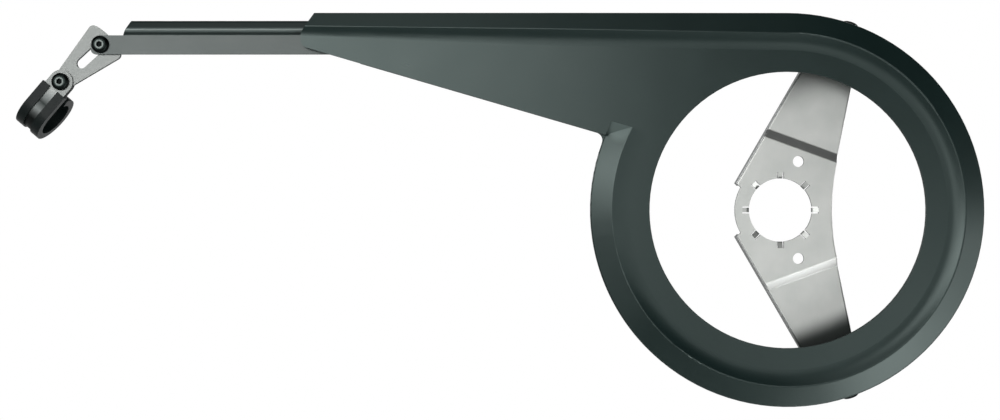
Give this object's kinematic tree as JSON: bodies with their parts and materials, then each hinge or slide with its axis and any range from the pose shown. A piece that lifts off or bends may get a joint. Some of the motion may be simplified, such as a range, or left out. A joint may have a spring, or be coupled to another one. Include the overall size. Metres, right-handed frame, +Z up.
{
  "type": "bicycle chain guard",
  "caption": "Ring-shaped chain guard with a long tail, a sliding extension arm with a slotted link and stay clip, and a stamped steel bracket that sits under the bottom-bracket cup.",
  "frame": {"origin": "on the bottom-bracket axis, in the middle of the bracket plate's thickness", "axes": "+X forward along the bicycle, away from the tail; +Z up; -Y outwards to the viewer, the way the crank leaves"},
  "size_m": [0.5304, 0.0353, 0.214],
  "materials": {
    "shell_plastic": "satin moulded polypropylene, black",
    "zinc_steel": "zinc-plated sheet steel, rolled grain",
    "clip_rubber": "matte black rubber",
    "black_screw": "black zinc-plated steel",
    "zinc_nut": "zinc-plated steel"
  },
  "bodies": {
    "guard": {"guard_shell": "shell_plastic", "bracket": "zinc_steel", "rim_screw_upper": "black_screw", "rim_screw_lower": "black_screw", "rim_nut_upper": "zinc_nut", "rim_nut_lower": "zinc_nut"},
    "arm": {"extension_arm": "shell_plastic"},
    "pivot_bolt": {"pivot_screw": "black_screw", "pivot_washer": "zinc_nut", "pivot_nut": "zinc_nut"},
    "link": {"link_plate": "zinc_steel"},
    "clip": {"clip_band": "zinc_steel", "clip_liner": "clip_rubber", "clip_screw": "black_screw", "clip_nut": "zinc_nut"}
  },
  "joints": [
    {"name": "arm_slide", "type": "slide", "parent": "guard", "child": "arm", "axis": [1, 0, 0], "range_m": [-0.01, 0.08]},
    {"name": "link_pivot", "type": "hinge", "parent": "arm", "child": "pivot_bolt", "pos_m": [-0.3738, -0.01315, 0.0902], "axis": [0, 1, 0], "range_deg": [-45, 45]},
    {"name": "link_slot", "type": "slide", "parent": "pivot_bolt", "child": "link", "axis": [0.7366, 0, 0.6763], "range_m": [0, 0.0148]},
    {"name": "clip_pivot", "type": "hinge", "parent": "link", "child": "clip", "pos_m": [-0.3958, -0.01315, 0.07], "axis": [0, 1, 0], "range_deg": [-45, 45]}
  ]
}
